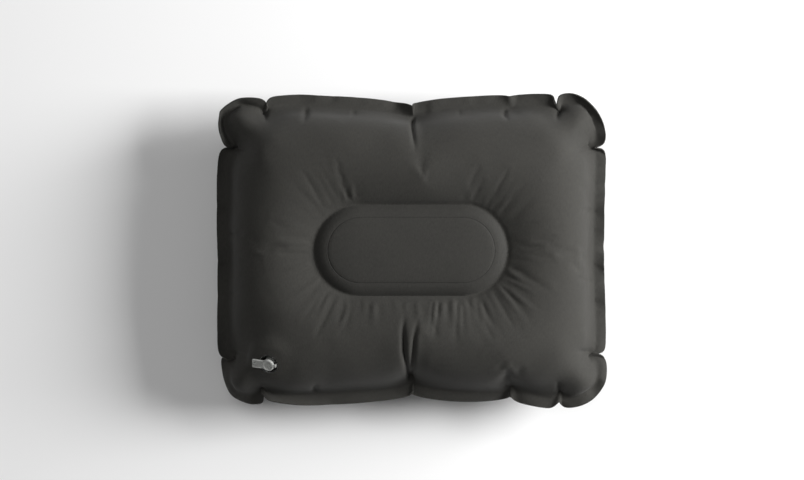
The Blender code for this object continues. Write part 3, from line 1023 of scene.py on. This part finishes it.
def stopper_surface(segments=240):
    """The stopper as rings about its middle, from the top's pole over the edge to the plug's pole.

    A ring's radius is a share of the outline's reach on the top and under it, a circle's near the
    pole, then shrinks to the plug. The top's height is the sum of a bead round the cap, a dish in
    it, a raised rim along the tab's edge and three grip ribs across the tab.
    """
    turn = np.arange(segments) / segments * math.tau
    reach = stopper_reach(turn)
    share = np.concatenate([np.linspace(0.02, 0.90, 30), np.linspace(0.915, 0.985, 6)])
    outline = smooth_share(share, 0.05, 0.40)[:, None]
    radius = share[:, None] * (CAP_RADIUS + (reach - CAP_RADIUS) * outline)
    x, y = radius * np.cos(turn), radius * np.sin(turn)
    edge = reach - radius
    from_middle = np.hypot(x, y)
    on_tab = smooth_share(-x, CAP_RADIUS + 0.0002, CAP_RADIUS + 0.0012)
    side = TAB_HALF_WIDTH - np.abs(y)
    end = TAB_END + x
    tab_edge = np.minimum(side, end)
    rim = 0.00055 * np.exp(-((tab_edge - 0.0007) / 0.00055) ** 2) * on_tab
    from_rib = (-x - RIBS_START) % RIB_PITCH - RIB_PITCH / 2
    ribs = 0.0004 * np.exp(-((from_rib / 0.0004) ** 2))
    ribs = ribs * on_tab * smooth_share(tab_edge, 0.0012, 0.0019)
    bead = 0.00045 * np.exp(-((from_middle - 0.0050) / 0.00055) ** 2)
    dish = -0.00025 * (1 - smooth_share(from_middle, 0.0028, 0.0046))
    neck = -0.00015 * on_tab
    height = CAP_TOP + 0.0001 + rim + ribs + bead * (from_middle < 0.0068) + dish + neck
    height -= 0.0003 * (1 - smooth_share(edge, 0, 0.0006))
    circle = np.stack([np.cos(turn), np.sin(turn)], axis=-1)
    rings = [np.stack([x, y, height], axis=-1)]
    for ring_share, ring_height in (
        (0.997, height[-1] - 0.00016),
        (1.0, height[-1] - 0.0004),
        (1.0, np.full(segments, CAP_UNDERSIDE + 0.0003)),
        (0.985, np.full(segments, CAP_UNDERSIDE + 0.00006)),
    ):
        rings.append(np.column_stack([ring_share * reach[:, None] * circle, ring_height])[None])
    plug = np.array(
        [
            (PLUG_RADIUS + 0.0008, CAP_UNDERSIDE),
            (PLUG_RADIUS + 0.0001, CAP_UNDERSIDE - 0.0002),
            (PLUG_RADIUS, CAP_UNDERSIDE - 0.0006),
            (PLUG_RADIUS - 0.0002, -0.0016),
            (PLUG_RADIUS, -0.0020),
            (PLUG_RADIUS - 0.00005, -0.0024),
            (PLUG_RADIUS - 0.0005, PLUG_END + 0.0003),
            (PLUG_RADIUS - 0.0009, PLUG_END),
            (0.0002, PLUG_END),
        ]
    )
    lower = np.empty((len(plug), segments, 3))
    lower[..., :2] = plug[:, 0, None, None] * circle
    lower[..., 2] = plug[:, 1, None]
    blend_in = np.linspace(0.25, 0.85, 3)[:, None, None]
    under = rings[-1] * (1 - blend_in) + lower[:1] * blend_in
    under[..., 2] = CAP_UNDERSIDE
    points = np.concatenate(rings + [under, lower])
    top, bottom = points[0].mean(axis=0), points[-1].mean(axis=0)
    rows = len(points)
    faces = grid_faces(rows, segments)
    here = np.arange(segments)
    beside = (here + 1) % segments
    first, last = rows * segments, rows * segments + 1
    end = (rows - 1) * segments
    caps_top = np.stack([np.full(segments, first), beside, here], axis=1)
    caps_bottom = np.stack([np.full(segments, last), end + here, end + beside], axis=1)
    points = np.concatenate([points.reshape(-1, 3), top[None], bottom[None]])
    return points, faces.tolist() + caps_top.tolist() + caps_bottom.tolist()


def strap_surface(path, half_width, half_thickness, around=20):
    """A strap along a path in the valve's X and Z: a rounded rectangle's ring at each point.

    The ring is a superellipse of power 4 across the strap, laid square to the path's direction.
    """
    path = np.asarray(path, float)
    along = np.gradient(path, axis=0)
    along /= np.linalg.norm(along, axis=1)[:, None]
    square = np.stack([along[:, 1], -along[:, 0]], axis=1)
    turn = np.arange(around) / around * math.tau
    across = np.sign(np.cos(turn)) * np.abs(np.cos(turn)) ** 0.5 * half_width
    thick = np.sign(np.sin(turn)) * np.abs(np.sin(turn)) ** 0.5 * half_thickness
    share = np.linspace(0, 1, len(path))
    full = np.sqrt(np.clip(1 - np.abs(2 * share - 1) ** 40, 0.02, 1))
    points = np.empty((len(path), around, 3))
    points[..., 0] = path[:, 0, None] + square[:, 0, None] * thick * full[:, None]
    points[..., 1] = across * full[:, None]
    points[..., 2] = path[:, 1, None] + square[:, 1, None] * thick * full[:, None]
    ends = points[[0, -1]].mean(axis=1)
    here = np.arange(around)
    beside = (here + 1) % around
    first = len(path) * around
    start = np.stack([np.full(around, first), beside, here], axis=1)
    last = first - around
    end = np.stack([np.full(around, first + 1), last + here, last + beside], axis=1)
    faces = grid_faces(len(path), around).tolist() + start.tolist() + end.tolist()
    return np.concatenate([points.reshape(-1, 3), ends]), faces


class PILLOW_OT_valve(bpy.types.Operator):
    """Makes the valve's seat with its rolling web, the stem, the strap and the stopper"""

    bl_idname = "pillow.valve"
    bl_label = "Valve"

    def execute(self, context):
        colours = context.scene.pillow_colours
        milky = soft_pvc(colours, "clear_soft_pvc", 0.45).material
        clear = soft_pvc(colours, "clear_soft_film", 0.93).material

        # Seat: the flange under the sheet, its lip in the hole and the web down to the stem's foot
        seat_profile = rounded_profile(
            (
                (0.0172, -0.0024),
                (0.0103, -0.0013),
                (0.0098, -0.0007),
                (0.0090, -0.0009),
                (0.0070, -0.0139),
                (0.0075, -0.0141),
                (0.0092, -0.0026),
                (0.0172, -0.0033),
            ),
            (0.0003, 0.0004, 0.0003, 0.0005, 0.0002, 0.0002, 0.0006, 0.0003),
            SEAT_STEPS,
        )
        # More rows on the web's two faces, which lead up to corners 6 and 4, counted from 0
        shares = np.linspace(0.06, 0.94, 12)
        for corner in (6, 4):
            seat_profile = with_rows(seat_profile, corner * SEAT_STEPS - 1, shares)
        seat = turned("valve_seat", seat_profile, clear, 96)
        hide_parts("valve_flange", "valve_web")
        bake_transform(seat)

        # Stem: foot, tube with two faint rings, mouth with a rounded lip, bore
        stem = turned(
            "valve_tube",
            rounded_profile(
                (
                    (0.0067, -0.0140),
                    (0.0067, -0.0130),
                    (0.0053, -0.0127),
                    (0.0052, -0.0098),
                    (0.0054, -0.0094),
                    (0.0052, -0.0090),
                    (0.0052, -0.0050),
                    (0.0054, -0.0046),
                    (0.0052, -0.0042),
                    (0.0052, -0.0014),
                    (0.0057, -0.0009),
                    (0.0057, 0.0003),
                    (0.0037, 0.0003),
                    (0.0036, -0.0140),
                ),
                [0.0003, 0.0003, 0.0004] + [0.00015] * 6 + [0.0003, 0.0003, 0.0004, 0.0004, 0.0003],
            ),
            milky,
        )
        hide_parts("valve_stem")
        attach(stem, "stem")

        # Strap: from the stem's foot up to the stopper's lug
        t = np.linspace(0, 1, 26)
        path = np.stack([0.00605 + 0.0019 * t**1.4, -0.0126 + 0.0129 * t], axis=1)
        strap_mesh = from_valve_mesh(strap_surface(path, LUG_HALF_WIDTH, 0.00042))
        strap = outward(make_piece("stopper_strap", *strap_mesh, milky))
        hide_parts("tether_strap")
        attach(strap, "stem")

        stopper = outward(make_piece("pull_stopper", *from_valve_mesh(stopper_surface()), milky))
        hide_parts("stopper")
        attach(stopper, "stopper")

        film = baffle_film(colours).material
        for name, finish in (("check_flap", clear), ("oval_baffle", film)):
            kept = frame["nodes"][name].data.materials
            kept.clear()
            kept.append(finish)
        return {"FINISHED"}


class PILLOW_OT_stage(bpy.types.Operator):
    """Sets the floor, the soft lights and the camera"""

    bl_idname = "pillow.stage"
    bl_label = "Stage"

    def execute(self, context):
        scene = context.scene
        colours = scene.pillow_colours
        finish = Finish("floor", 0.9)
        grain = finish.noise(finish.place(), 3.0, 2.0)
        tint = tuple(colours.floor)
        finish.colour(finish.mix(grain, tuple(c * 0.99 for c in tint), tint))
        reach = 6.0
        corners = [(-reach, -reach, 0), (reach, -reach, 0), (reach, reach, 0), (-reach, reach, 0)]
        floor = make_piece("floor", corners, [(0, 1, 2, 3)], finish.material)
        lights = (
            ("key", (2.10, 0.45, 1.05), 1.1, 120.0),
            ("fill", (-0.7, 0.6, 2.3), 1.6, 16.0),
        )
        for name, place, size, power in lights:
            light = bpy.data.lights.new(name, "AREA")
            light.size, light.energy = size, power
            lamp = bpy.data.objects.new(name, light)
            lamp.location = place
            lamp.rotation_euler = Vector(place).to_track_quat("Z", "Y").to_euler()
            scene.collection.objects.link(lamp)
        world = bpy.data.worlds.new("studio")
        world.use_nodes = True
        background = world.node_tree.nodes["Background"]
        background.inputs["Color"].default_value = (1, 1, 1, 1)
        background.inputs["Strength"].default_value = 0.14
        scene.world = world
        camera = bpy.data.cameras.new("camera")
        eye = bpy.data.objects.new("camera", camera)
        camera.sensor_width = 36
        camera.lens = camera.sensor_width * (VIEW_HEIGHT - SEAM_HEIGHT) / VIEW_WIDTH
        eye.location = (-0.009, 0.010, VIEW_HEIGHT)
        scene.collection.objects.link(eye)
        scene.camera = eye
        scene.view_settings.view_transform = "Standard"
        return {"FINISHED"}


class PILLOW_PT_panel(bpy.types.Panel):
    """Lists the steps that build the pillow and its sizes and colours"""

    bl_label = "Camp Pillow"
    bl_idname = "PILLOW_PT_panel"
    bl_space_type = "VIEW_3D"
    bl_region_type = "UI"
    bl_category = "Pillow"

    def draw(self, context):
        layout = self.layout
        for settings in (context.scene.pillow_sizes, context.scene.pillow_colours):
            box = layout.box()
            for name in settings.__annotations__:
                box.prop(settings, name)
        for step in STEPS:
            layout.operator(step.bl_idname)


STEPS = (PILLOW_OT_sheets, PILLOW_OT_valve, PILLOW_OT_stage)
CLASSES = (PillowSizes, PillowColours, *STEPS, PILLOW_PT_panel)


def register():
    for kind in CLASSES:
        bpy.utils.register_class(kind)
    bpy.types.Scene.pillow_sizes = bpy.props.PointerProperty(type=PillowSizes)
    bpy.types.Scene.pillow_colours = bpy.props.PointerProperty(type=PillowColours)


def unregister():
    del bpy.types.Scene.pillow_sizes
    del bpy.types.Scene.pillow_colours
    for kind in reversed(CLASSES):
        bpy.utils.unregister_class(kind)


def main():
    register()
    bpy.ops.pillow.sheets()
    bpy.ops.pillow.valve()
    bpy.ops.pillow.stage()


if __name__ == "__main__":
    main()
